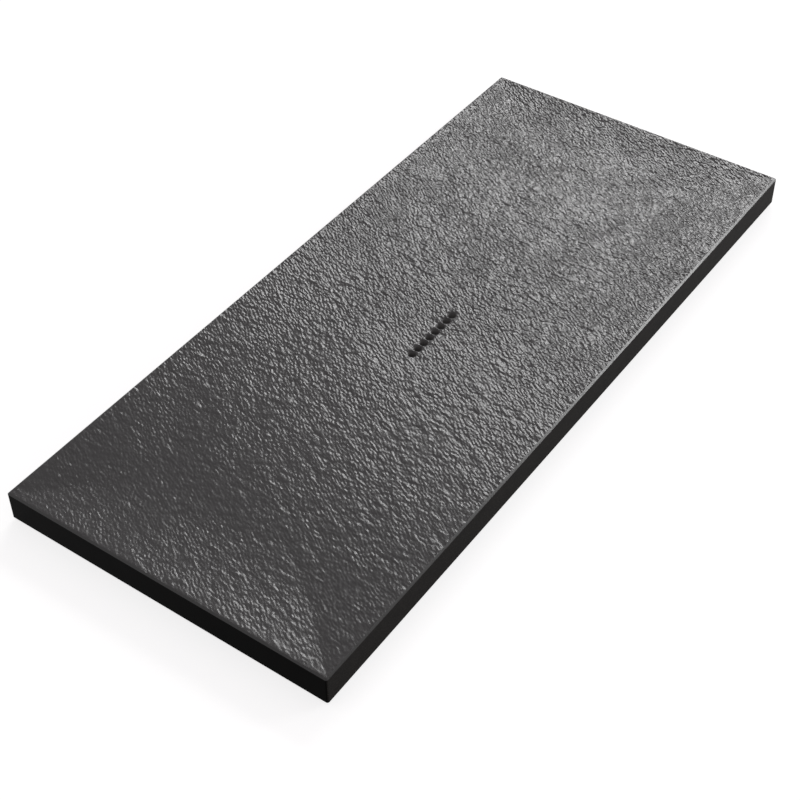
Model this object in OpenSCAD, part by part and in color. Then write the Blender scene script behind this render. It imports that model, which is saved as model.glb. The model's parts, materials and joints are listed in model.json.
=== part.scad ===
// Gongfu tea tray: one dished stone slab that drains through a row of holes
// into a steel pan let into its underside, and from there to a hose spout.
// The slab lies along X, the hose leaves towards +Y, and z = 0 is the table.

/* [Stone slab] */
// Length of the slab
slab_l = 800; // [600:10:1000]
// Width of the slab
slab_w = 350; // [300:10:450]
// Thickness of the slab
slab_t = 31.5; // [28:0.5:45]
// Radius of the four upright corners
corner_r = 2; // [2:0.5:12]
// Bevel round the top edge
top_bevel = 1.75; // [0.5:0.25:1.75]
// Bevel round the bottom edge
foot_bevel = 0.5; // [0.25:0.25:1.75]

/* [Dished top] */
// Depth of the dish below its rim
dish_depth = 5; // [1:0.25:6]
// Flat rim between the bevel and the dish
rim_w = 1; // [0.5:0.25:12]
// How far in from each short end the dish goes on falling
end_fall = 95; // [40:5:140]
// How far in from each long side the dish goes on falling
side_fall = 100; // [40:5:120]
// Extra depth of the shallow bowl at the drain holes
bowl_depth = 0.8; // [0.3:0.1:1.2]
// Radius of that bowl
bowl_r = 75; // [60:5:100]

/* [Drain holes] */
// Number of holes in the row
drain_n = 8; // [3:1:11]
// Distance between two holes
drain_pitch = 9.75; // [9.5:0.25:13]
// Diameter of a hole
drain_d = 7.8; // [6:0.1:8.2]
// Bevel round the mouth of a hole
drain_bevel = 0.75; // [0.2:0.05:0.85]
// Middle of the row, from the middle of the slab towards +X
drain_x = -12; // [-60:1:60]
// Middle of the row, from the middle of the slab towards +Y
drain_y = -10; // [-40:1:40]

/* [Pocket and channel under the slab] */
// Width of the pocket across the row
pocket_w = 46; // [38:1:60]
// Room between the last hole and the end of the pocket
pocket_room = 13; // [9:1:25]
// Radius of the pocket's upright corners
pocket_r = 8; // [5:0.5:12]
// Outer diameter of the hose that the channel takes
hose_d = 12; // [11.5:0.25:14]
// Room on each side of the hose in its channel
channel_side = 2; // [1:0.25:4]
// Room over the hose in its channel
channel_top = 0.6; // [0.4:0.1:2]
// Radius in the roof of the hose channel
channel_r = 2; // [1:0.5:5.5]

/* [Catch pan] */
// Thickness of the pan's base plate
plate_t = 2; // [1.75:0.25:2.5]
// How far the plate lies below flush
plate_sink = 0.2; // [0.1:0.05:0.5]
// Margin of the plate round the pocket
plate_margin = 13; // [11:0.5:18]
// Clearance round the plate in its rebate
plate_gap = 0.5; // [0.2:0.1:1]
// Radius of the plate's corners
plate_r = 10; // [6:0.5:14]
// Thickness of the pan's upstanding wall
wall_t = 1.5; // [1:0.1:2]
// Clearance between the wall and the pocket
wall_gap = 1.5; // [1.3:0.1:2.5]

/* [Edge seal] */
// Thickness of the seal above the wall's edge
seal_top = 2; // [1:0.25:2.5]
// Depth of the seal's lips down the wall
seal_lip = 2; // [1:0.25:2]
// Thickness of each lip
seal_lip_t = 1; // [0.6:0.1:1.2]

/* [Hose spout] */
// Room between the hose and the base plate below it
hose_room = 0.2; // [0.1:0.1:1]
// Room between the lock nut and the seal above it
nut_room = 0.1; // [0.1:0.1:1]
// Outer diameter of the hose end
spigot_d = 9; // [8.25:0.25:10]
// Length of the hose end
spigot_l = 22; // [15:1:35]
// Bevel at the tip of the hose end
spigot_bevel = 1; // [0.5:0.1:1.25]
// Bore of the spout
spout_bore = 6.2; // [4:0.1:6.8]
// Diameter of the threaded shank
shank_d = 9; // [8:0.25:9.5]
// Size across the flats of the shoulder and the nut
flats = 12; // [11:0.25:13]
// Thickness of the hexagon shoulder
shoulder_t = 4; // [3:0.5:6]
// Thickness of the lock nut
nut_t = 3; // [2:0.25:4]
// Thickness of the sealing washer
washer_t = 1; // [0.5:0.1:1.5]
// Clearance of the shank in the pan and the washer
shank_gap = 0.15; // [0.05:0.05:0.3]
// How far the shank stands out of the lock nut
shank_out = 1; // [0.5:0.25:2]

/* [Screws and plugs] */
// Diameter of a screw's shank
screw_d = 3.5; // [3:0.1:4]
// Diameter of a countersunk head
head_d = 6.8; // [6:0.1:7.2]
// Length of a screw
screw_l = 14; // [10:0.5:15]
// Diameter of a plug
plug_d = 6; // [5.5:0.1:7]
// Length of a plug
plug_l = 15; // [12:0.5:16]
// Depth of the cross recess in a screw's head
recess_depth = 1.2; // [0.6:0.1:1.4]
// Clearance of a screw in the pan's plate
screw_gap = 0.2; // [0.1:0.05:0.3]
// Half the distance between the two screws beside the channel
inner_screw = 22; // [19:0.5:28]

/* [Foot pads] */
// Diameter of a pad
pad_d = 24; // [16:1:30]
// Thickness of a pad
pad_t = 3; // [2:0.5:6]
// Bevel round the foot of a pad
pad_bevel = 0.6; // [0.2:0.1:1]
// Depth of the grip rings in a pad's foot
grip_depth = 0.5; // [0.3:0.1:0.8]
// Width of a grip ring
grip_w = 1.2; // [0.8:0.1:1.4]
// Distance of the outer pads from the short ends
pad_end_in = 45; // [30:5:80]
// Distance of the inner pads from the middle
pad_mid_x = 125; // [90:5:180]
// Distance of the pads from the long sides
pad_side_in = 35; // [22:1:50]

/* [Hidden] */
$fn = 64;

// Length by which a cutter runs past the face it cuts
past = 1;
// Straight steps in one curved fall of the dish
fall_steps = 10;
// Rings in the curve of the drain bowl
bowl_rings = 6;

slab_z = pad_t;
top_z = slab_z + slab_t;
floor_z = top_z - dish_depth;
dish_l = slab_l - 2 * (top_bevel + rim_w);
dish_w = slab_w - 2 * (top_bevel + rim_w);

row_l = (drain_n - 1) * drain_pitch;
pocket_l = row_l + drain_d + 2 * pocket_room;
plate_l = pocket_l + 2 * plate_margin;
plate_w = pocket_w + 2 * plate_margin;
rebate_d = plate_t + plate_sink;

// The spout stands high enough for its hose and nut to clear the plate,
// and the pocket is as deep as they need
spout_rise = max(hose_d, flats) / 2 + hose_room;
wall_h = spout_rise + flats / 2 + nut_room + seal_lip;
pocket_d = rebate_d + wall_h + seal_top;
channel_w = hose_d + 2 * channel_side;
channel_d = rebate_d + spout_rise + hose_d / 2 + channel_top;

plate_top_z = slab_z + rebate_d;
spout_z = plate_top_z + spout_rise;
ceiling_z = slab_z + pocket_d;
pan_l = pocket_l - 2 * wall_gap;
pan_w = pocket_w - 2 * wall_gap;
pan_r = pocket_r - wall_gap;

wall_y = drain_y + pan_w / 2;
washer_y = wall_y;
shoulder_y = washer_y + washer_t;
spigot_y = shoulder_y + shoulder_t;
nut_y = wall_y - wall_t - nut_t;
shank_y = nut_y - shank_out;

// Screw places round the pocket, from the middle of the row
screw_y = pocket_w / 2 + plate_margin / 2;
screw_x = pocket_l / 2 + plate_margin / 2;
screw_places = [for (x = [-screw_x, -inner_screw, inner_screw, screw_x], y = [-screw_y, screw_y]) [x, y]];

pad_end_x = slab_l / 2 - pad_end_in;
pad_y = slab_w / 2 - pad_side_in;

// Depth of the dish at a distance in from its edge, steepest at the edge and level after the run
function fall(t, run) = dish_depth * (1 - pow(1 - min(t, run) / run, 2));

// One side of the dish's section, from the edge in to where the floor is level
function fall_side(half, run) = [
    for (i = [0 : fall_steps])
        let (t = run * i / fall_steps) [half - t, -fall(t, run)]
];

// The whole section of the dish with room above it for the cut
function trough_section(half, run) = let (side = fall_side(half, run)) concat(
    [[half, past]],
    side,
    [for (i = [fall_steps : -1 : 0]) [-side[i][0], side[i][1]]],
    [[-half, past]]
);

// Depth of the drain bowl at a distance from its middle
function bowl(r) = bowl_depth * (1 - pow(min(r, bowl_r) / bowl_r, 2));

// Half of a block's section, from its axis out to its eased side
function eased_half(a, h, top, foot) = [
    [0, 0], [a - foot, 0], [a, foot], [a, h - top], [a - top, h], [0, h]
];

module in_place() {
    translate([drain_x, drain_y, 0])
        children();
}

// A block with round upright corners and bevels round its top and its foot
module eased_block(l, w, h, r, top, foot) {
    rotate([90, 0, 0])
        linear_extrude(w - 2 * r, center = true)
            eased_section(l / 2, h, top, foot);
    rotate([90, 0, 90])
        linear_extrude(l - 2 * r, center = true)
            eased_section(w / 2, h, top, foot);
    for (x = [-1, 1], y = [-1, 1])
        translate([x * (l / 2 - r), y * (w / 2 - r), 0])
            rotate_extrude()
                polygon(eased_half(r, h, top, foot));
}

module eased_section(a, h, top, foot) {
    polygon(eased_half(a, h, top, foot));
    mirror([1, 0])
        polygon(eased_half(a, h, top, foot));
}

// A block with round upright corners and sharp edges
module round_block(l, w, h, r) {
    linear_extrude(h) {
        square([l - 2 * r, w], center = true);
        square([l, w - 2 * r], center = true);
        for (x = [-1, 1], y = [-1, 1])
            translate([x * (l / 2 - r), y * (w / 2 - r)])
                circle(r);
    }
}

// The space of the dish: two long troughs cross, so their falls meet on the corner lines
module dish_space() {
    translate([0, 0, top_z])
        intersection() {
            rotate([90, 0, 0])
                linear_extrude(slab_w, center = true)
                    polygon(trough_section(dish_l / 2, end_fall));
            rotate([90, 0, 90])
                linear_extrude(slab_l, center = true)
                    polygon(trough_section(dish_w / 2, side_fall));
        }
}

// The shallow round bowl that leads the water to the row of holes
module drain_bowl() {
    in_place()
        translate([0, 0, floor_z])
            rotate_extrude($fn = 96)
                polygon(concat(
                    [[0, past], [0, -bowl_depth]],
                    [for (i = [1 : bowl_rings]) let (r = bowl_r * i / bowl_rings) [r, -bowl(r)]],
                    [[bowl_r, past]]
                ));
}

module drain_hole(x) {
    mouth_z = floor_z - bowl(abs(x));
    translate([x, 0, ceiling_z - past])
        cylinder(d = drain_d, h = top_z - ceiling_z + 2 * past);
    translate([x, 0, mouth_z - drain_bevel])
        cylinder(d1 = drain_d, d2 = drain_d + 4 * drain_bevel, h = 2 * drain_bevel);
}

// The hose channel's section, open at the bottom and round in its roof
module channel_section() {
    translate([-channel_w / 2, -past])
        square([channel_w, channel_d - channel_r + past]);
    translate([-channel_w / 2 + channel_r, 0])
        square([channel_w - 2 * channel_r, channel_d]);
    for (x = [-1, 1])
        translate([x * (channel_w / 2 - channel_r), channel_d - channel_r])
            circle(channel_r);
}

module hose_channel() {
    translate([drain_x, slab_w / 2 + past, slab_z])
        rotate([90, 0, 0])
            linear_extrude(slab_w / 2 + past - drain_y)
                channel_section();
}

module stone_slab() {
    color([0.19, 0.19, 0.19])
        difference() {
            translate([0, 0, slab_z])
                eased_block(slab_l, slab_w, slab_t, corner_r, top_bevel, foot_bevel);
            dish_space();
            drain_bowl();
            in_place() {
                for (i = [0 : drain_n - 1])
                    drain_hole(i * drain_pitch - row_l / 2);
                translate([0, 0, slab_z - past])
                    round_block(pocket_l, pocket_w, pocket_d + past, pocket_r);
                translate([0, 0, slab_z - past])
                    round_block(plate_l + 2 * plate_gap, plate_w + 2 * plate_gap, rebate_d + past, plate_r);
                for (p = screw_places)
                    translate([p[0], p[1], plate_top_z - past])
                        cylinder(d = plug_d, h = plug_l + past);
            }
            hose_channel();
        }
}

// Steel base plate with a wall that stands in the pocket round the drain holes
module catch_pan() {
    color([0.74, 0.75, 0.76])
        difference() {
            in_place() {
                translate([0, 0, slab_z + plate_sink])
                    round_block(plate_l, plate_w, plate_t, plate_r);
                translate([0, 0, plate_top_z])
                    difference() {
                        round_block(pan_l, pan_w, wall_h, pan_r);
                        round_block(pan_l - 2 * wall_t, pan_w - 2 * wall_t, wall_h + past, pan_r - wall_t);
                    }
            }
            in_place()
                for (p = screw_places)
                    translate([p[0], p[1], slab_z + plate_sink]) {
                        translate([0, 0, -past])
                            cylinder(d = screw_d + 2 * screw_gap, h = plate_t + 2 * past);
                        countersink(head_d + 2 * screw_gap, screw_d + 2 * screw_gap);
                    }
            along_spout(wall_y - wall_t - past, shank_d + 2 * shank_gap, wall_t + past + washer_t);
        }
}

// A cone as deep as a countersunk head, with its wide end down
module countersink(wide, narrow) {
    cylinder(d1 = wide, d2 = narrow, h = (wide - narrow) / 2);
}

// A straight cylinder on the spout's axis, from a given y towards +Y
module along_spout(y, d, l) {
    translate([drain_x, y, spout_z])
        rotate([-90, 0, 0])
            cylinder(d = d, h = l);
}

// A hexagon on the spout's axis with two flats level
module hex_on_spout(y, l) {
    translate([drain_x, y, spout_z])
        rotate([-90, 0, 0])
            cylinder(d = flats / cos(30), h = l, $fn = 6);
}

// Soft channel strip pushed over the wall's edge and pressed against the stone
module pan_seal() {
    color([0.86, 0.86, 0.84])
        in_place()
            translate([0, 0, ceiling_z - seal_top - seal_lip])
                difference() {
                    round_block(
                        pan_l + 2 * seal_lip_t, pan_w + 2 * seal_lip_t,
                        seal_top + seal_lip, pan_r + seal_lip_t
                    );
                    translate([0, 0, -past])
                        round_block(
                            pan_l - 2 * (wall_t + seal_lip_t), pan_w - 2 * (wall_t + seal_lip_t),
                            seal_top + seal_lip + 2 * past, pan_r - wall_t - seal_lip_t
                        );
                    translate([0, 0, -past])
                        difference() {
                            round_block(pan_l, pan_w, seal_lip + past, pan_r);
                            translate([0, 0, -past])
                                round_block(
                                    pan_l - 2 * wall_t, pan_w - 2 * wall_t,
                                    seal_lip + 3 * past, pan_r - wall_t
                                );
                        }
                }
}

module hose_spout() {
    color([0.78, 0.79, 0.80])
        difference() {
            union() {
                along_spout(shank_y, shank_d, spigot_y - shank_y);
                hex_on_spout(shoulder_y, shoulder_t);
                along_spout(shoulder_y, spigot_d, shoulder_t + spigot_l - spigot_bevel);
                translate([drain_x, spigot_y + spigot_l - spigot_bevel, spout_z])
                    rotate([-90, 0, 0])
                        cylinder(d1 = spigot_d, d2 = spigot_d - 2 * spigot_bevel, h = spigot_bevel);
            }
            along_spout(shank_y - past, spout_bore, spigot_y + spigot_l - shank_y + 2 * past);
        }
}

module spout_washer() {
    color([0.80, 0.30, 0.22])
        difference() {
            along_spout(washer_y, flats, washer_t);
            along_spout(washer_y - past, shank_d + 2 * shank_gap, washer_t + 2 * past);
        }
}

module spout_nut() {
    color([0.70, 0.71, 0.72])
        difference() {
            hex_on_spout(nut_y, nut_t);
            along_spout(nut_y - past, shank_d, nut_t + 2 * past);
        }
}

module pan_screws() {
    color([0.66, 0.67, 0.68])
        in_place()
            for (p = screw_places)
                translate([p[0], p[1], slab_z + plate_sink])
                    difference() {
                        union() {
                            cylinder(d = screw_d, h = screw_l);
                            countersink(head_d, screw_d);
                        }
                        cross_recess();
                    }
}

// The cross-shaped recess in a screw's head
module cross_recess() {
    cross_l = screw_d;
    cross_w = screw_d / 4;
    for (a = [0, 90])
        rotate(a)
            translate([-cross_l / 2, -cross_w / 2, -past])
                cube([cross_l, cross_w, recess_depth + past]);
}

// Plugs that fill the drilled holes and grip the screws
module screw_plugs() {
    color([0.88, 0.87, 0.82])
        in_place()
            for (p = screw_places)
                translate([p[0], p[1], plate_top_z])
                    difference() {
                        cylinder(d = plug_d, h = plug_l);
                        translate([0, 0, -past])
                            cylinder(d = screw_d, h = screw_l - plate_t + past);
                    }
}

// Grip rings run round a pad's foot and leave its middle and its edge flat
module foot_pad(x, y) {
    color([0.16, 0.16, 0.17])
        translate([x, y, 0])
            difference() {
                union() {
                    cylinder(d1 = pad_d - 2 * pad_bevel, d2 = pad_d, h = pad_bevel);
                    translate([0, 0, pad_bevel])
                        cylinder(d = pad_d, h = pad_t - pad_bevel);
                }
                for (r = [pad_d / 6, pad_d / 3])
                    grip_ring(r);
            }
}

module grip_ring(r) {
    translate([0, 0, -past])
        difference() {
            cylinder(r = r + grip_w / 2, h = grip_depth + past);
            translate([0, 0, -past])
                cylinder(r = r - grip_w / 2, h = grip_depth + 3 * past);
        }
}

stone_slab();
catch_pan();
pan_seal();
hose_spout();
spout_washer();
spout_nut();
pan_screws();
screw_plugs();
foot_pad(-pad_end_x, pad_y);  // foot_pad_near_left
foot_pad(-pad_end_x, -pad_y);  // foot_pad_near_right
foot_pad(-pad_mid_x, pad_y);  // foot_pad_mid_near_left
foot_pad(-pad_mid_x, -pad_y);  // foot_pad_mid_near_right
foot_pad(pad_mid_x, pad_y);  // foot_pad_mid_far_left
foot_pad(pad_mid_x, -pad_y);  // foot_pad_mid_far_right
foot_pad(pad_end_x, pad_y);  // foot_pad_far_left
foot_pad(pad_end_x, -pad_y);  // foot_pad_far_right
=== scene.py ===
# Looks of the gongfu tea tray: a riven black stone slab over its steel drain works
import json
import math

import bmesh
import bpy
import numpy as np
from mathutils import Matrix, Vector


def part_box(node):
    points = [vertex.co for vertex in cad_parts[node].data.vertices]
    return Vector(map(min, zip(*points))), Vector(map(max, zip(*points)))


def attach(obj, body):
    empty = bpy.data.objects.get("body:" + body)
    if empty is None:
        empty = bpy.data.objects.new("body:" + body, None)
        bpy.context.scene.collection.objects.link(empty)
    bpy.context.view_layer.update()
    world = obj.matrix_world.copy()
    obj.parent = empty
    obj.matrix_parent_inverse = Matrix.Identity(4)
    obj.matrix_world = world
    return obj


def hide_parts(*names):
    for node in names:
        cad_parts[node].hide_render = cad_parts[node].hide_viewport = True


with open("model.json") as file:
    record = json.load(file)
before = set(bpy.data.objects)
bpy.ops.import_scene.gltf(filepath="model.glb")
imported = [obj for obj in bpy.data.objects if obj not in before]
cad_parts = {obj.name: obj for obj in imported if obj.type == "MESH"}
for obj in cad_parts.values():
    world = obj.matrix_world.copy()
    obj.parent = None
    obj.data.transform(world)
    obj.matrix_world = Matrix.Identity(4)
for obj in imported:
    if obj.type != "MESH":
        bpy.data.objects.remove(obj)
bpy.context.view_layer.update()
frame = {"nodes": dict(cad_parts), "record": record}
nodes = frame["nodes"]
mm = 0.001  # sizes are in metres
print("frame loaded:", len(nodes), "nodes")


# Meshes

def meshObject(name, verts, faces):
    mesh = bpy.data.meshes.new(name)
    mesh.from_pydata([tuple(v) for v in verts], [], faces)
    obj = bpy.data.objects.new(name, mesh)
    bpy.context.scene.collection.objects.link(obj)
    return obj


# Points of a rectangle with round corners, counter-clockwise
def roundOutline(length, width, radius, steps=10):
    points = []
    for sx, sy, start in ((1, 1, 0), (-1, 1, 90), (-1, -1, 180), (1, -1, 270)):
        for i in range(steps + 1):
            turn = math.radians(start + 90 * i / steps)
            points.append((sx * (length / 2 - radius) + radius * math.cos(turn),
                           sy * (width / 2 - radius) + radius * math.sin(turn)))
    return points


# A closed solid through rings of points, from the lowest ring to the highest
def loft(name, rings):
    count = len(rings[0])
    verts = [point for ring in rings for point in ring]
    faces = [tuple(reversed(range(count)))]
    for k in range(len(rings) - 1):
        for i in range(count):
            j = (i + 1) % count
            faces.append((k * count + i, k * count + j, (k + 1) * count + j, (k + 1) * count + i))
    faces.append(tuple(range((len(rings) - 1) * count, len(rings) * count)))
    return meshObject(name, verts, faces)


# A block with round upright corners, its section given as (inset, height) from the foot up
def easedBlock(name, length, width, radius, section, middle=(0, 0)):
    rings = []
    for inset, z in section:
        outline = roundOutline(length - 2 * inset, width - 2 * inset, max(radius - inset, 0.05 * mm))
        rings.append([(middle[0] + x, middle[1] + y, z) for x, y in outline])
    return loft(name, rings)


# A solid round its own axis; a row is (height, radius), and the radius may be a function of the turn
def turned(name, rows, steps=72, bore=0.0, boreEase=0.0):
    turns = [2 * math.pi * i / steps for i in range(steps)]
    rings = []
    for z, radius in rows:
        radii = [radius(a) if callable(radius) else radius for a in turns]
        rings.append([(r * math.cos(a), r * math.sin(a), z) for r, a in zip(radii, turns)])
    if not bore:
        return loft(name, rings)
    first, last = rows[0][0], rows[-1][0]
    for z, r in ((last, bore + boreEase), (last - boreEase, bore), (first + boreEase, bore), (first, bore + boreEase)):
        rings.append([(r * math.cos(a), r * math.sin(a), z) for a in turns])
    verts = [point for ring in rings for point in ring]
    faces = []
    for k in range(len(rings)):
        after = (k + 1) % len(rings)
        for i in range(steps):
            j = (i + 1) % steps
            faces.append((k * steps + i, k * steps + j, after * steps + j, after * steps + i))
    return meshObject(name, verts, faces)


# Moves a mesh made round +Z to a place, with its axis along a direction
def setOn(obj, place, axis=(0, 0, 1), spin=0.0):
    turn = Vector(axis).to_track_quat("Z", "Y").to_matrix().to_4x4()
    obj.data.transform(Matrix.Translation(place) @ turn @ Matrix.Rotation(spin, 4, "Z"))
    return obj


def bakeModifiers(obj):
    graph = bpy.context.evaluated_depsgraph_get()
    baked = bpy.data.meshes.new_from_object(obj.evaluated_get(graph))
    obj.modifiers.clear()
    old = obj.data
    obj.data = baked
    bpy.data.meshes.remove(old)


def combine(target, others, operation):
    for other in others:
        step = target.modifiers.new(other.name, "BOOLEAN")
        step.operation = operation
        step.solver = "MANIFOLD"
        step.object = other
    bakeModifiers(target)
    for other in others:
        bpy.data.objects.remove(other)
    return target


def joinMeshes(name, parts):
    joined = bmesh.new()
    for part in parts:
        joined.from_mesh(part.data)
    mesh = bpy.data.meshes.new(name)
    joined.to_mesh(mesh)
    joined.free()
    for part in parts:
        bpy.data.objects.remove(part)
    obj = bpy.data.objects.new(name, mesh)
    bpy.context.scene.collection.objects.link(obj)
    return obj


def smoothShade(obj, sharpAngle=35):
    obj.data.shade_smooth()
    obj.data.set_sharp_from_angle(angle=math.radians(sharpAngle))


# Middle of each loose part of a CAD node
def looseMiddles(node):
    work = bmesh.new()
    work.from_mesh(nodes[node].data)
    bmesh.ops.remove_doubles(work, verts=work.verts, dist=0.01 * mm)
    middles, seen = [], set()
    for start in work.verts:
        if start in seen:
            continue
        group, reach = [], [start]
        seen.add(start)
        while reach:
            vert = reach.pop()
            group.append(vert.co.copy())
            for edge in vert.link_edges:
                other = edge.other_vert(vert)
                if other not in seen:
                    seen.add(other)
                    reach.append(other)
        low = Vector([min(p[i] for p in group) for i in range(3)])
        high = Vector([max(p[i] for p in group) for i in range(3)])
        middles.append((low + high) / 2)
    work.free()
    return sorted(middles, key=lambda p: (round(p.x, 4), round(p.y, 4)))


# Materials

def addNode(tree, kind, inputs=None, **settings):
    node = tree.nodes.new("ShaderNode" + kind)
    for name, value in settings.items():
        setattr(node, name, value)
    for name, value in (inputs or {}).items():
        socket = node.inputs[name]
        if isinstance(value, bpy.types.NodeSocket):
            tree.links.new(value, socket)
        else:
            socket.default_value = value
    return node


def newMaterial(name):
    material = bpy.data.materials.new(name)
    material.use_nodes = True
    tree = material.node_tree
    tree.nodes.clear()
    return material, tree


# Object coordinates, stretched by a scale along each axis
def stretched(tree, scale):
    where = addNode(tree, "TexCoord").outputs["Object"]
    return addNode(tree, "Mapping", {"Vector": where, "Scale": scale}).outputs["Vector"]


def noise(tree, size, detail=2.0, rough=0.5, vector=None, output="Fac"):
    vector = vector or stretched(tree, (1, 1, 1))
    node = addNode(tree, "TexNoise", {"Vector": vector, "Scale": 1 / size, "Detail": detail, "Roughness": rough})
    return node.outputs[output]


def mapRange(tree, value, fromLow, fromHigh, toLow, toHigh):
    inputs = {"Value": value, "From Min": fromLow, "From Max": fromHigh, "To Min": toLow, "To Max": toHigh}
    return addNode(tree, "MapRange", inputs).outputs["Result"]


def mixColour(tree, factor, a, b, blend="MIX"):
    node = addNode(tree, "Mix", data_type="RGBA", blend_type=blend)
    for socket, value in ((node.inputs["Factor"], factor), (node.inputs[6], a), (node.inputs[7], b)):
        if isinstance(value, bpy.types.NodeSocket):
            tree.links.new(value, socket)
        else:
            socket.default_value = value
    return node.outputs[2]


def maths(tree, operation, a, b=0.0):
    node = addNode(tree, "Math", operation=operation)
    for socket, value in zip(node.inputs, (a, b)):
        if isinstance(value, bpy.types.NodeSocket):
            tree.links.new(value, socket)
        else:
            socket.default_value = value
    return node.outputs[0]


def bump(tree, height, depth, strength=1.0, normal=None):
    inputs = {"Height": height, "Distance": depth, "Strength": strength}
    if normal:
        inputs["Normal"] = normal
    return addNode(tree, "Bump", inputs).outputs["Normal"]


def finishMaterial(tree, **sockets):
    names = {"colour": "Base Color", "roughness": "Roughness", "metallic": "Metallic", "normal": "Normal", "ior": "IOR"}
    shader = addNode(tree, "BsdfPrincipled", {names[key]: value for key, value in sockets.items()})
    addNode(tree, "OutputMaterial", {"Surface": shader.outputs["BSDF"]})


def grey(value, warmth=0.0):
    return (value * (1 + warmth), value, value * (1 - warmth), 1)


# Stone of the slab: five finishes of one black stone
stoneFinish = {
    "topDark": 0.016,
    "topLight": 0.026,
    "topRoughness": (0.24, 0.30),
    "wornUntil": 0.10,        # place along the slab from which the relief is full
    "nearRelief": 0.35,
    "sideColour": 0.006,
    "honedColour": 0.020,
}


def rivenStone():
    material, tree = newMaterial("rivenStone")
    cloud = noise(tree, 90 * mm, 3)
    grain = noise(tree, 1.6 * mm, 3, 0.6)
    base = mixColour(tree, cloud, grey(stoneFinish["topDark"], 0.01), grey(stoneFinish["topLight"], 0.01))
    colour = mixColour(tree, mapRange(tree, grain, 0.3, 0.7, 0.0, 0.35), base, grey(0.018))
    rough = mapRange(tree, noise(tree, 4 * mm, 3), 0.3, 0.7, *stoneFinish["topRoughness"])
    where = addNode(tree, "TexCoord").outputs["Object"]
    along = addNode(tree, "Mapping", {"Vector": where, "Rotation": (0, 0, relief["lie"]), "Scale": (relief["draw"], 1, 1)},
                    vector_type="TEXTURE").outputs["Vector"]
    fine = noise(tree, 2.2 * mm, 0, 0.5, vector=along)
    patch = mapRange(tree, noise(tree, 45 * mm, 2), 0.35, 0.62, 0.6, 1.0)
    place = addNode(tree, "SeparateXYZ", {"Vector": where}).outputs["X"]
    reach = mapRange(tree, place, slabLow.x, stoneFinish["wornUntil"], 0.0, 1.0)
    worn = mapRange(tree, maths(tree, "MULTIPLY", reach, reach), 0.0, 1.0, stoneFinish["nearRelief"], 1.0)
    tiny = noise(tree, 0.6 * mm, 2, 0.5)
    normal = bump(tree, fine, 1.2 * mm, strength=maths(tree, "MULTIPLY", patch, worn))
    normal = bump(tree, tiny, 0.02 * mm, normal=normal)
    finishMaterial(tree, colour=colour, roughness=rough, normal=normal)
    return material


# End faces: a polished finish whose near-black colour, darker than the long sides, is painted shade for an end that
# lies away from the light
def polishedStoneWithPaintedShade():
    material, tree = newMaterial("polishedStoneWithPaintedShade")
    cloud = noise(tree, 14 * mm, 3)
    colour = mixColour(tree, cloud, grey(0.0010, 0.05), grey(0.0030, 0.05))
    rough = mapRange(tree, noise(tree, 6 * mm, 3), 0.3, 0.7, 0.16, 0.26)
    normal = bump(tree, noise(tree, 2 * mm, 3), 0.008 * mm)
    finishMaterial(tree, colour=colour, roughness=rough, normal=normal, ior=1.04)
    return material


# The narrow bevel round the top edge keeps a bright polish
def bevelStone():
    material, tree = newMaterial("bevelStone")
    grain = noise(tree, 1.8 * mm, 3)
    colour = mixColour(tree, grain, grey(0.006, 0.03), grey(0.014, 0.03))
    rough = mapRange(tree, grain, 0.3, 0.7, 0.26, 0.36)
    finishMaterial(tree, colour=colour, roughness=rough, normal=bump(tree, grain, 0.02 * mm))
    return material


def honedStone():
    material, tree = newMaterial("honedStone")
    grain = noise(tree, 1.1 * mm, 3, 0.7)
    patch = noise(tree, 9 * mm, 3)
    base = mixColour(tree, patch, grey(0.004, 0.06), grey(0.010, 0.10))
    colour = mixColour(tree, mapRange(tree, grain, 0.5, 0.75, 0.0, 1.0), base, grey(0.040, 0.06))
    rough = mapRange(tree, grain, 0.3, 0.7, 0.35, 0.55)
    normal = bump(tree, grain, 0.03 * mm)
    finishMaterial(tree, colour=colour, roughness=rough, normal=normal, ior=1.06)
    return material


def sawnStone():
    material, tree = newMaterial("sawnStone")
    marks = addNode(tree, "TexWave", {"Vector": stretched(tree, (1, 0.06, 1)), "Scale": 90.0, "Distortion": 2.5,
                                      "Detail": 2.0, "Detail Scale": 3.0}, bands_direction="X").outputs["Fac"]
    grain = noise(tree, 1.2 * mm, 3, 0.6)
    base = mixColour(tree, noise(tree, 60 * mm, 3), grey(0.036, 0.02), grey(0.052, 0.02))
    colour = mixColour(tree, mapRange(tree, grain, 0.35, 0.7, 0.0, 0.4), base, grey(0.020))
    rough = mapRange(tree, grain, 0.3, 0.7, 0.62, 0.78)
    normal = bump(tree, marks, 0.03 * mm)
    normal = bump(tree, grain, 0.03 * mm, normal=normal)
    finishMaterial(tree, colour=colour, roughness=rough, normal=normal)
    return material


def groundStone():
    material, tree = newMaterial("groundStone")
    rings = addNode(tree, "TexWave", {"Vector": stretched(tree, (1, 1, 1)), "Scale": 420.0, "Distortion": 1.5,
                                      "Detail": 2.0}, bands_direction="Z").outputs["Fac"]
    grain = noise(tree, 0.9 * mm, 3, 0.6)
    colour = mixColour(tree, grain, grey(0.07, 0.02), grey(0.15, 0.02))
    rough = mapRange(tree, grain, 0.3, 0.7, 0.5, 0.68)
    normal = bump(tree, rings, 0.02 * mm)
    normal = bump(tree, grain, 0.03 * mm, normal=normal)
    finishMaterial(tree, colour=colour, roughness=rough, normal=normal)
    return material


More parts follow.
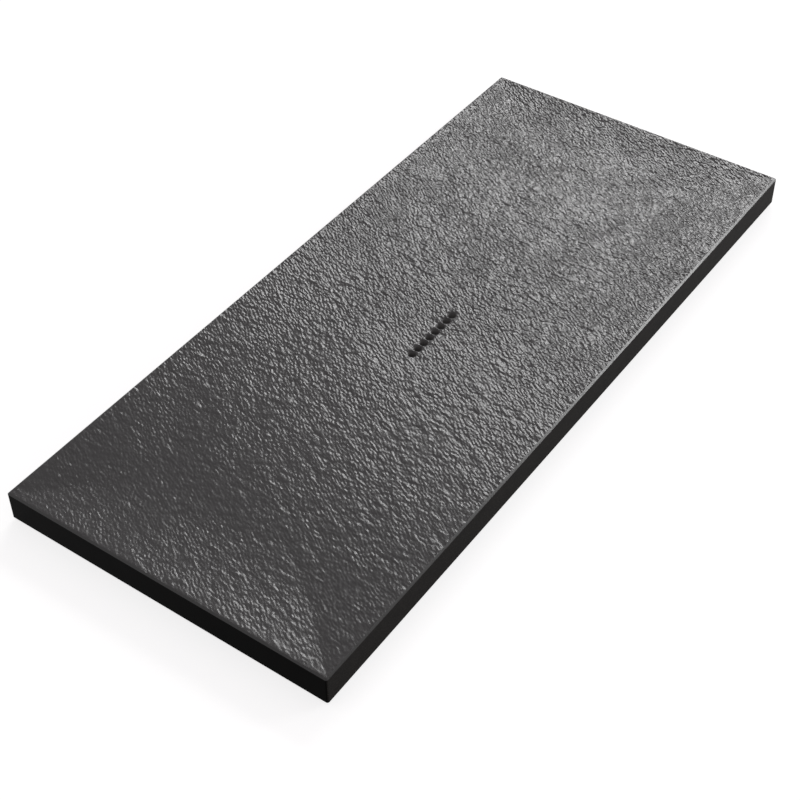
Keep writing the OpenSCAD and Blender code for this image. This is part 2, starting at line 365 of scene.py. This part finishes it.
# Steel whose fine scratches run along one axis
def brushedSteel(name, value, roughness, scratch):
    material, tree = newMaterial(name)
    lines = noise(tree, 0.35 * mm, 3, 0.6, vector=stretched(tree, scratch))
    stain = noise(tree, 22 * mm, 3)
    colour = mixColour(tree, stain, grey(value * 0.92, 0.005), grey(value, -0.005))
    rough = mapRange(tree, lines, 0.3, 0.7, roughness - 0.06, roughness + 0.08)
    finishMaterial(tree, colour=colour, roughness=rough, normal=bump(tree, lines, 0.004 * mm), metallic=1.0)
    return material


def softRubber(name, colour, dust, roughness=0.6):
    material, tree = newMaterial(name)
    grain = noise(tree, 0.5 * mm, 3, 0.6)
    patch = noise(tree, 7 * mm, 3)
    tone = mixColour(tree, mapRange(tree, patch, 0.35, 0.7, 0.0, 0.5), colour, dust)
    rough = mapRange(tree, grain, 0.3, 0.7, roughness - 0.08, roughness + 0.1)
    finishMaterial(tree, colour=tone, roughness=rough, normal=bump(tree, grain, 0.015 * mm))
    return material


# Stone slab

slabSizes = {
    "cornerRadius": 2 * mm,
    "topBevel": 1.75 * mm,
    "footBevel": 0.5 * mm,
    "dishDepth": 5 * mm,
    "rim": 1 * mm,         # flat between the bevel and the dish
    "endFall": 95 * mm,    # how far in from a short end the dish goes on falling
    "sideFall": 100 * mm,
    "bowlDepth": 0.8 * mm,
    "bowlRadius": 75 * mm,
}
holeSizes = {
    "diameter": 7.8 * mm,
    "mouthRound": 1.0 * mm,    # radius of the rounded mouth
    "mouthSink": 0.3 * mm,     # depth of the shallow cone round it
    "mouthCone": 1.5 * mm,     # width of that cone
}
cutSizes = {
    "plateGap": 0.5 * mm,     # round the base plate in its rebate
    "plateRadius": 10 * mm,
    "sealGap": 0.5 * mm,      # round the seal in the pocket
    "pocketRadius": 8 * mm,
    "plugDiameter": 6 * mm,
    "channelWidth": 16 * mm,
    "channelDepth": 15 * mm,
    "channelRadius": 2 * mm,
}
relief = {
    "seed": 23,
    "fineStep": 0.5 * mm,           # grid on which the relief is worked out
    "meshStep": (1.45 * mm, 2.1 * mm),
    "bigFlake": 10 * mm,
    "smallFlake": 4.0 * mm,
    "bigDepth": 0.09 * mm,
    "smallDepth": 0.16 * mm,
    "rippleDepth": 0.06 * mm,
    "wornShare": 0.55,   # how much of the relief is left at the near end
    "wornReach": 0.60,   # share of the length over which it comes back
    "swellDepth": 0.03 * mm,
    "lie": math.radians(57),        # direction in which the flakes are drawn out, from +X
    "draw": 1.9,
}
slabLow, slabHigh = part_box("stone_slab")
slabLength, slabWidth = slabHigh.x - slabLow.x, slabHigh.y - slabLow.y


# Gaussian blur on a wrapping grid
def blurField(field, width):
    ky = np.fft.fftfreq(field.shape[0], relief["fineStep"])[:, None]
    kx = np.fft.rfftfreq(field.shape[1], relief["fineStep"])[None, :]
    gain = np.exp(-2 * (math.pi * width) ** 2 * (kx ** 2 + ky ** 2))
    return np.fft.irfft2(np.fft.rfft2(field) * gain, s=field.shape)


# Noise with features between two sizes, scaled to a spread of 1
def bandField(rng, shape, small, large):
    white = rng.standard_normal(shape)
    field = blurField(white, small) - blurField(white, large)
    return field / field.std()


# Shallow scallops left by flakes: each cell is a tilted cup with a sharp border
def flakeField(rng, x, y, size):
    cells = 256
    jitter = rng.random((2, cells, cells))
    tilt = rng.standard_normal((2, cells, cells))
    lift = rng.standard_normal((cells, cells))
    column, row = np.floor(x / size).astype(int), np.floor(y / size).astype(int)
    nearest, height = np.full(x.shape, np.inf), np.zeros(x.shape)
    for i in (-1, 0, 1):
        for j in (-1, 0, 1):
            cell = (0, (row + j) % cells, (column + i) % cells)
            dx = x / size - (column + i + jitter[cell])
            dy = y / size - (row + j + jitter[(1,) + cell[1:]])
            reach = dx * dx + dy * dy
            cup = 0.35 * lift[cell[1:]] + 0.6 * (tilt[cell] * dx + tilt[(1,) + cell[1:]] * dy) + 0.9 * reach
            closer = reach < nearest
            nearest = np.where(closer, reach, nearest)
            height = np.where(closer, cup, height)
    return (height - height.mean()) / height.std()


def rivenField(length, width):
    rng = np.random.default_rng(relief["seed"])
    step = relief["fineStep"]
    shape = (int(width / step) + 1, int(length / step) + 1)
    y, x = np.meshgrid(np.arange(shape[0]) * step, np.arange(shape[1]) * step, indexing="ij")
    warpX = x + 2.2 * mm * bandField(rng, shape, 3 * mm, 9 * mm)
    warpY = y + 2.2 * mm * bandField(rng, shape, 3 * mm, 9 * mm)
    lie = relief["lie"]
    along = (warpX * math.cos(lie) + warpY * math.sin(lie)) / relief["draw"]
    across = warpY * math.cos(lie) - warpX * math.sin(lie)
    big = flakeField(rng, along, across, relief["bigFlake"])
    small = flakeField(rng, along, across, relief["smallFlake"])
    ripple = bandField(rng, shape, 1.1 * mm, 3.2 * mm)
    swell = bandField(rng, shape, 14 * mm, 45 * mm)
    field = (relief["bigDepth"] * big + relief["smallDepth"] * small
             + relief["rippleDepth"] * ripple + relief["swellDepth"] * swell)
    worn = np.clip(x / (relief["wornReach"] * length), 0, 1)  # the near end is the smoother one
    return blurField(field, 0.7 * mm) * (relief["wornShare"] + (1 - relief["wornShare"]) * worn)


# Depth of the dish at a distance in from its edge: steepest there, level after the run
def fall(distance, run):
    share = np.clip(distance / run, 0, 1)
    return slabSizes["dishDepth"] * (1 - (1 - share) ** 2)


def dishHeight(x, y):
    edge = slabSizes["topBevel"] + slabSizes["rim"]
    inX = slabLength / 2 - edge - np.abs(x)
    inY = slabWidth / 2 - edge - np.abs(y)
    depth = np.minimum(fall(inX, slabSizes["endFall"]), fall(inY, slabSizes["sideFall"]))
    reach = np.hypot(x - drainMiddle.x, y - drainMiddle.y) / slabSizes["bowlRadius"]
    return slabHigh.z - depth - slabSizes["bowlDepth"] * (1 - np.clip(reach, 0, 1) ** 2)


# A block whose top carries the dish and the relief, a little larger than the slab
def reliefBlock():
    margin = 3 * mm
    stepX, stepY = relief["meshStep"]
    countX = int(math.ceil((slabLength + 2 * margin) / stepX))
    countY = int(math.ceil((slabWidth + 2 * margin) / stepY))
    x = np.linspace(-slabLength / 2 - margin, slabLength / 2 + margin, countX)
    y = np.linspace(-slabWidth / 2 - margin, slabWidth / 2 + margin, countY)
    field = rivenField(slabLength + 2 * margin, slabWidth + 2 * margin)
    rows = (y - y[0]) / relief["fineStep"]
    columns = (x - x[0]) / relief["fineStep"]
    r0 = np.clip(rows.astype(int), 0, field.shape[0] - 2)
    c0 = np.clip(columns.astype(int), 0, field.shape[1] - 2)
    fr, fc = (rows - r0)[:, None], (columns - c0)[None, :]
    rough = ((1 - fr) * (1 - fc) * field[np.ix_(r0, c0)] + (1 - fr) * fc * field[np.ix_(r0, c0 + 1)]
             + fr * (1 - fc) * field[np.ix_(r0 + 1, c0)] + fr * fc * field[np.ix_(r0 + 1, c0 + 1)])
    gridX, gridY = np.meshgrid(x, y)
    top = dishHeight(gridX, gridY) + rough
    verts = np.stack([gridX, gridY, top], -1).reshape(-1, 3).tolist()
    index = np.arange(countX * countY).reshape(countY, countX)
    faces = np.stack([index[:-1, :-1], index[:-1, 1:], index[1:, 1:], index[1:, :-1]], -1).reshape(-1, 4).tolist()
    border = (index[0, :-1].tolist() + index[:-1, -1].tolist()
              + index[-1, :0:-1].tolist() + index[:0:-1, 0].tolist())
    first = len(verts)
    for k in border:
        verts.append([verts[k][0], verts[k][1], slabLow.z - margin])
    for k, a in enumerate(border):
        after = (k + 1) % len(border)
        faces.append([a, first + k, first + after, border[after]])
    faces.append([first + k for k in reversed(range(len(border)))])
    return meshObject("reliefBlock", verts, faces)


def drainCutters(places):
    radius, ease = holeSizes["diameter"] / 2, holeSizes["mouthRound"]
    cutters = []
    for place in places:
        mouth = float(dishHeight(place.x, place.y)) - ease - holeSizes["mouthSink"]
        rows = [(slabLow.z + 8 * mm, radius)]
        for k in range(6):
            turn = math.radians(15 * k)
            rows.append((mouth + ease * math.sin(turn), radius + ease * (1 - math.cos(turn))))
        rows.append((mouth + ease + 3 * holeSizes["mouthSink"], radius + ease + 3 * holeSizes["mouthCone"]))
        cutters.append(setOn(turned("drain", rows, 40), (place.x, place.y, 0)))
    return cutters


# The pocket, rebate, plug holes and hose channel under the slab, from the places of what they hold
def underCutters():
    plateLow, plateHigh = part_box("catch_pan")
    sealLow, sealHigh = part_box("pan_seal")
    spoutLow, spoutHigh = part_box("hose_spout")
    plate = nodes["catch_pan"].data
    plateTop = plateLow.z + 2 * mm
    middle = ((sealLow.x + sealHigh.x) / 2, (sealLow.y + sealHigh.y) / 2)
    flat = [v.co for v in plate.vertices if v.co.z < plateTop + 0.01 * mm]
    length = max(p.x for p in flat) - min(p.x for p in flat) + 2 * cutSizes["plateGap"]
    width = max(p.y for p in flat) - min(p.y for p in flat) + 2 * cutSizes["plateGap"]
    below = slabLow.z - 2 * mm
    rebate = easedBlock("rebate", length, width, cutSizes["plateRadius"], [(0, below), (0, plateTop)], middle)
    gap = 2 * cutSizes["sealGap"]
    pocket = easedBlock("pocket", sealHigh.x - sealLow.x + gap, sealHigh.y - sealLow.y + gap,
                        cutSizes["pocketRadius"], [(0, below), (0, sealHigh.z)], middle)
    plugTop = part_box("screw_plugs")[1].z
    cutters = [rebate, pocket]
    for place in looseMiddles("screw_plugs"):
        rows = [(below, cutSizes["plugDiameter"] / 2), (plugTop, cutSizes["plugDiameter"] / 2)]
        cutters.append(setOn(turned("plugHole", rows, 32), (place.x, place.y, 0)))
    cutters.append(channelCutter((spoutLow.x + spoutHigh.x) / 2, middle[1]))
    return cutters


def channelCutter(x, startY):
    half, depth, radius = cutSizes["channelWidth"] / 2, cutSizes["channelDepth"], cutSizes["channelRadius"]
    section = [(-half, -2 * mm), (half, -2 * mm)]
    for sign, start in ((1, 0), (-1, 90)):
        for i in range(9):
            turn = math.radians(start + 90 * i / 8)
            section.append((sign * (half - radius) + radius * math.cos(turn), depth - radius + radius * math.sin(turn)))
    rings = [[(x + u, y, slabLow.z + v) for u, v in section] for y in (slabHigh.y + 5 * mm, startY)]
    return loft("channel", rings)


# Gives each face of the slab the finish of its place
def slabFinishes(slab):
    slab.data.materials.clear()
    for make in (rivenStone, polishedStoneWithPaintedShade, honedStone, sawnStone, groundStone, bevelStone):
        slab.data.materials.append(make())
    mesh = slab.data
    count = len(mesh.polygons)
    normal, middle = np.zeros(count * 3), np.zeros(count * 3)
    mesh.polygons.foreach_get("normal", normal)
    mesh.polygons.foreach_get("center", middle)
    normal, middle = normal.reshape(-1, 3), middle.reshape(-1, 3)
    finish = np.full(count, 4)
    finish[normal[:, 2] > 0.85] = 0
    bevelX = slabLength / 2 - slabSizes["topBevel"] - 0.01 * mm
    bevelY = slabWidth / 2 - slabSizes["topBevel"] - 0.01 * mm
    endSide = np.abs(middle[:, 0]) > bevelX
    longSide = np.abs(middle[:, 1]) > bevelY
    finish[(normal[:, 2] > 0.15) & (normal[:, 2] < 0.85) & (middle[:, 2] > slabHigh.z - 9 * mm)] = 5
    finish[longSide & (normal[:, 2] < 0.85)] = 2
    # the end faces take the polished stone, whose dark colour is painted shade
    finish[endSide & (np.abs(normal[:, 0]) >= np.abs(normal[:, 1])) & (normal[:, 2] < 0.85)] = 1
    finish[(endSide | longSide) & (normal[:, 2] > 0.5) & (normal[:, 2] < 0.85)] = 5
    finish[(normal[:, 2] < -0.9) & (middle[:, 2] < slabLow.z + 0.1 * mm)] = 3
    inner = (middle[:, 2] < slabHigh.z - 8 * mm) & ~endSide & ~longSide & (normal[:, 2] > -0.9)
    finish[inner] = 4
    mesh.polygons.foreach_set("material_index", finish.astype(np.int32))


def makeSlab():
    block = easedBlock("stoneSlab", slabLength, slabWidth, slabSizes["cornerRadius"], [
        (slabSizes["footBevel"], slabLow.z),
        (0, slabLow.z + slabSizes["footBevel"]),
        (0, slabHigh.z - slabSizes["topBevel"]),
        (slabSizes["topBevel"], slabHigh.z),
    ])
    combine(block, [reliefBlock()], "INTERSECT")
    cutters = drainCutters(drainPlaces) + underCutters()
    combine(block, cutters, "DIFFERENCE")
    slabFinishes(block)
    smoothShade(block)
    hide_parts("stone_slab")
    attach(block, "root")
    print("stone slab:", len(block.data.polygons), "faces")


drainBoxes = [o["box_m"] for o in frame["record"]["physics"]["openings"] if o["name"].startswith("drain_hole")]
drainPlaces = [Vector(((lo[0] + hi[0]) / 2, (lo[1] + hi[1]) / 2, 0)) for lo, hi in drainBoxes]
drainMiddle = sum(drainPlaces, Vector()) / len(drainPlaces)
makeSlab()


# Hose spout, with its thread, hexagon and barbed tail; its place, axis and length come from the CAD node

spoutSizes = {
    "bore": 6.2 * mm,
    "shankDiameter": 9 * mm,
    "threadPitch": 1.25 * mm,
    "threadDepth": 0.35 * mm,
    "shankLength": 9.5 * mm,     # from the inner end to the hexagon
    "shoulder": 4 * mm,
    "flats": 12 * mm,
    "barbs": 4,
    "barbDepth": 0.45 * mm,
    "ease": 0.3 * mm,
}


# Radius of a hexagon whose corners are turned round, for a given direction
def hexRadius(flats, corner):
    def radius(turn):
        inside = (turn + math.pi / 6) % (math.pi / 3) - math.pi / 6
        return min(flats / 2 / math.cos(inside), corner)
    return radius


def makeSpout():
    low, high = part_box("hose_spout")
    sizes = spoutSizes
    axisX, axisZ = (low.x + high.x) / 2, (low.z + high.z) / 2
    radius, length = sizes["shankDiameter"] / 2, high.y - low.y
    rows = [(0, radius - 0.6 * mm)]
    z = 0.4 * mm
    while z < sizes["shankLength"] - sizes["threadPitch"]:
        rows += [(z, radius - sizes["threadDepth"]), (z + sizes["threadPitch"] / 2, radius)]
        z += sizes["threadPitch"]
    rows.append((sizes["shankLength"] - 0.4 * mm, radius - sizes["threadDepth"]))
    corner = sizes["flats"] / 2 / math.cos(math.pi / 6)
    start, end = sizes["shankLength"], sizes["shankLength"] + sizes["shoulder"]
    rows += [(start, hexRadius(sizes["flats"], corner - 2 * sizes["ease"])),
             (start + sizes["ease"], hexRadius(sizes["flats"], corner)),
             (end - sizes["ease"], hexRadius(sizes["flats"], corner)),
             (end, hexRadius(sizes["flats"], corner - 2 * sizes["ease"]))]
    tail = length - end
    rows.append((end + 0.05 * mm, radius - sizes["barbDepth"]))
    for k in range(sizes["barbs"]):
        foot = end + 0.15 * tail + 0.8 * tail * k / sizes["barbs"]
        tip = foot + 0.8 * tail / sizes["barbs"]
        rows += [(foot, radius - sizes["barbDepth"]), (foot + 0.3 * mm, radius), (tip - 0.4 * mm, radius - sizes["barbDepth"])]
    rows.append((length, radius - 2 * sizes["barbDepth"]))
    spout = turned("hoseSpout", rows, 96, bore=sizes["bore"] / 2, boreEase=0.3 * mm)
    turn = Matrix(((1, 0, 0, 0), (0, 0, 1, 0), (0, -1, 0, 0), (0, 0, 0, 1)))
    spout.data.transform(Matrix.Translation((axisX, low.y, axisZ)) @ turn @ Matrix.Rotation(math.pi / 6, 4, "Z"))
    spout.data.materials.append(brushedSteel("spoutSteel", 0.66, 0.24, (1, 0.05, 1)))
    smoothShade(spout, 30)
    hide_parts("hose_spout")
    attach(spout, "root")
    print("hose spout made")


makeSpout()


# Countersunk screws with a cross recess and a thread

screwSizes = {
    "head": 6.8 * mm,
    "shank": 3.5 * mm,
    "threadPitch": 1.2 * mm,
    "threadDepth": 0.5 * mm,
    "slotLength": 3.6 * mm,
    "slotWidth": 0.9 * mm,
    "slotDepth": 1.2 * mm,
    "point": 2.5 * mm,
}


def crossCutter(place, turn):
    half, width = screwSizes["slotLength"] / 2, screwSizes["slotWidth"] / 2
    outline = [(half, -width), (half, width), (width, width), (width, half), (-width, half), (-width, width),
               (-half, width), (-half, -width), (-width, -width), (-width, -half), (width, -half), (width, -width)]
    rings = []
    for z, scale in ((-1 * mm, 1.0), (0.0, 1.0), (screwSizes["slotDepth"], 0.55)):
        rings.append([(x * scale, y * scale, z) for x, y in outline])
    return setOn(loft("cross", rings), place, spin=turn)


def makeScrews():
    low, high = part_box("pan_screws")
    sizes = screwSizes
    rng = np.random.default_rng(5)
    length = high.z - low.z
    screws = []
    for middle in looseMiddles("pan_screws"):
        head, shank = sizes["head"] / 2, sizes["shank"] / 2
        rows = [(0, head - 0.25 * mm), (0.08 * mm, head - 0.04 * mm), (0.2 * mm, head - 0.12 * mm),
                (head - shank, shank)]
        z = head - shank + 0.6 * mm
        while z < length - sizes["point"]:
            rows += [(z, shank - sizes["threadDepth"]), (z + sizes["threadPitch"] / 2, shank)]
            z += sizes["threadPitch"]
        rows += [(length - sizes["point"] + 0.2 * mm, shank - sizes["threadDepth"]), (length, 0.2 * mm)]
        screw = setOn(turned("screw", rows, 40), (middle.x, middle.y, low.z))
        combine(screw, [crossCutter((middle.x, middle.y, low.z), rng.uniform(0, math.pi / 2))], "DIFFERENCE")
        screws.append(screw)
    joined = joinMeshes("panScrews", screws)
    joined.data.materials.clear()
    joined.data.materials.append(brushedSteel("screwSteel", 0.58, 0.26, (1, 1, 1)))
    smoothShade(joined, 30)
    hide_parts("pan_screws")
    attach(joined, "root")
    print("screws made:", len(screws))


makeScrews()


# Foot pads: pressed silicone discs with grip rings and a rolled edge

padSizes = {
    "edge": 0.9 * mm,          # radius of the rolled edge at the foot
    "ringDepth": 0.5 * mm,
    "ringWidth": 1.2 * mm,
    "rings": (1 / 6, 1 / 3),   # middle of each ring, as a share of the diameter
}


def makePads():
    rubber = softRubber("padSilicone", (0.022, 0.022, 0.024, 1), (0.035, 0.035, 0.037, 1), 0.55)
    for node in [n for n in nodes if n.startswith("foot_pad")]:
        low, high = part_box(node)
        radius, top = (high.x - low.x) / 2, high.z
        rows = [(top, 0.02 * mm), (top, radius - 0.3 * mm), (top - 0.1 * mm, radius - 0.1 * mm), (top - 0.3 * mm, radius),
                (padSizes["edge"], radius)]
        for k in range(1, 6):
            turn = math.radians(90 * k / 6)
            rows.append((padSizes["edge"] * (1 - math.sin(turn)), radius - padSizes["edge"] * (1 - math.cos(turn))))
        rows.append((0, radius - padSizes["edge"]))
        for share in reversed(padSizes["rings"]):
            middle, half = share * 2 * radius, padSizes["ringWidth"] / 2
            rows += [(0, middle + half), (0.6 * padSizes["ringDepth"], middle + 0.85 * half),
                     (padSizes["ringDepth"], middle + 0.5 * half), (padSizes["ringDepth"], middle - 0.5 * half),
                     (0.6 * padSizes["ringDepth"], middle - 0.85 * half), (0, middle - half)]
        rows.append((0, 0.02 * mm))
        pad = setOn(turned(node.replace("foot_pad", "pad"), rows[::-1], 72),
                    ((low.x + high.x) / 2, (low.y + high.y) / 2, low.z))
        pad.data.materials.append(rubber)
        smoothShade(pad, 40)
        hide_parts(node)
        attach(pad, "root")
    print("foot pads made")


makePads()


# Finishes of the CAD nodes that keep their shape

def dress(node, material, ease=0.0):
    nodes[node].data.materials.clear()
    nodes[node].data.materials.append(material)
    if ease:
        bevel = nodes[node].modifiers.new("ease", "BEVEL")
        bevel.width = ease
        bevel.segments = 2
        bevel.limit_method = "ANGLE"
        bevel.angle_limit = math.radians(50)
        bevel.harden_normals = True


dress("catch_pan", brushedSteel("panSteel", 0.62, 0.32, (0.03, 1, 1)), 0.25 * mm)
dress("pan_seal", softRubber("sealSilicone", (0.66, 0.66, 0.63, 1), (0.55, 0.55, 0.52, 1)), 0.2 * mm)
dress("spout_washer", softRubber("washerRubber", (0.42, 0.06, 0.04, 1), (0.30, 0.05, 0.04, 1)), 0.15 * mm)
dress("spout_nut", brushedSteel("nutSteel", 0.60, 0.28, (1, 0.05, 1)), 0.25 * mm)
dress("screw_plugs", softRubber("plugNylon", (0.74, 0.72, 0.65, 1), (0.62, 0.60, 0.53, 1), 0.45), 0.2 * mm)
print("finishes set")


# Camera, light and floor

cameraView = {
    "turn": -54.35,      # degrees round the tray from looking along +Y
    "rise": 44.02,       # degrees above the horizon
    "roll": -0.66,
    "distance": 1.4925,
    "aim": (-0.1094, -0.0404, 0.0345),
    "lens": 72.86,
}


def makeCamera():
    turn, rise, roll = (math.radians(cameraView[k]) for k in ("turn", "rise", "roll"))
    back = Vector((math.sin(turn) * math.cos(rise), -math.cos(turn) * math.cos(rise), math.sin(rise)))
    right = Vector((0, 0, 1)).cross(back).normalized()
    up = back.cross(right)
    axes = Matrix((right * math.cos(roll) + up * math.sin(roll),
                   up * math.cos(roll) - right * math.sin(roll), back)).transposed()
    data = bpy.data.cameras.new("camera")
    data.lens = cameraView["lens"]
    data.sensor_width = 36
    data.clip_end = 50
    camera = bpy.data.objects.new("camera", data)
    camera.matrix_world = Matrix.Translation(Vector(cameraView["aim"]) + back * cameraView["distance"]) @ axes.to_4x4()
    bpy.context.scene.collection.objects.link(camera)
    bpy.context.scene.camera = camera


lamps = {
    "farWindow": {"place": (11.67, 3.93, 8.59), "size": (7.1, 2.4), "power": 745},
    "sideWindow": {"place": (1.83, -1.64, 0.85), "size": (0.9, 0.5), "power": 20},
}
aimPoint = Vector((0, 0, 0.03))


def makeLamps():
    for name, lamp in lamps.items():
        data = bpy.data.lights.new(name, "AREA")
        data.shape = "RECTANGLE"
        data.size, data.size_y = lamp["size"]
        data.energy = lamp["power"]
        obj = bpy.data.objects.new(name, data)
        obj.location = lamp["place"]
        obj.visible_camera = False
        obj.rotation_euler = (Vector(lamp["place"]) - aimPoint).to_track_quat("Z", "Y").to_euler()
        bpy.context.scene.collection.objects.link(obj)


roomLook = {
    "light": 0.63,       # strength of the room's own light
    "tint": (1.0, 0.945, 0.970, 1),
    "backdropTop": 0.35,      # height of the white backdrop that polished faces mirror, as a sine
    "backdropFade": 0.15,
}


# 1 where a ray comes from the camera, a mirror or glass
def seenRays(tree, withCamera=True):
    path = addNode(tree, "LightPath").outputs
    mirrored = maths(tree, "MAXIMUM", path["Is Glossy Ray"], path["Is Transmission Ray"])
    return maths(tree, "MAXIMUM", path["Is Camera Ray"], mirrored) if withCamera else mirrored


def makeWorld():
    world = bpy.data.worlds.new("studio")
    world.use_nodes = True
    tree = world.node_tree
    tree.nodes.clear()
    way = addNode(tree, "SeparateXYZ", {"Vector": addNode(tree, "TexCoord").outputs["Generated"]}).outputs["Z"]
    low = mapRange(tree, way, roomLook["backdropTop"], roomLook["backdropTop"] + roomLook["backdropFade"], 1.0, 0.0)
    mirrored = maths(tree, "MULTIPLY", seenRays(tree, withCamera=False), low)
    camera = addNode(tree, "LightPath").outputs["Is Camera Ray"]
    seen = maths(tree, "MAXIMUM", camera, mirrored)
    strength = mapRange(tree, seen, 0.0, 1.0, roomLook["light"], 1.0)
    colour = mixColour(tree, seen, roomLook["tint"], grey(1.0))
    light = addNode(tree, "Background", {"Color": colour, "Strength": strength})
    addNode(tree, "OutputWorld", {"Surface": light.outputs["Background"]})
    bpy.context.scene.world = world


floorLook = {
    "size": 40.0,
    "colour": 0.80,
    "glow": 0.75,     # how much of the white that the camera sees is the floor's own
    "share": 0.35,    # how much of it is lit, and keeps the shadow
}


def makeFloor():
    half = floorLook["size"] / 2
    floor = meshObject("floor", [(-half, -half, 0), (half, -half, 0), (half, half, 0), (-half, half, 0)], [(0, 1, 2, 3)])
    material, tree = newMaterial("floorPaper")
    path = seenRays(tree)
    plain = addNode(tree, "BsdfDiffuse", {"Color": grey(floorLook["colour"])}).outputs[0]
    lit = addNode(tree, "BsdfDiffuse", {"Color": grey(floorLook["share"])}).outputs[0]
    glow = addNode(tree, "Emission", {"Color": (1, 1, 1, 1), "Strength": floorLook["glow"]}).outputs[0]
    shown = addNode(tree, "AddShader")
    tree.links.new(lit, shown.inputs[0])
    tree.links.new(glow, shown.inputs[1])
    both = addNode(tree, "MixShader", {"Fac": path})
    tree.links.new(plain, both.inputs[1])
    tree.links.new(shown.outputs[0], both.inputs[2])
    below = addNode(tree, "NewGeometry").outputs["Backfacing"]
    clear = addNode(tree, "BsdfTransparent").outputs[0]
    whole = addNode(tree, "MixShader", {"Fac": below})
    tree.links.new(both.outputs[0], whole.inputs[1])
    tree.links.new(clear, whole.inputs[2])
    addNode(tree, "OutputMaterial", {"Surface": whole.outputs[0]})
    floor.data.materials.append(material)


makeCamera()
makeLamps()
makeWorld()
makeFloor()
bpy.context.scene.view_settings.view_transform = "Standard"
print("camera, lamps and floor set")
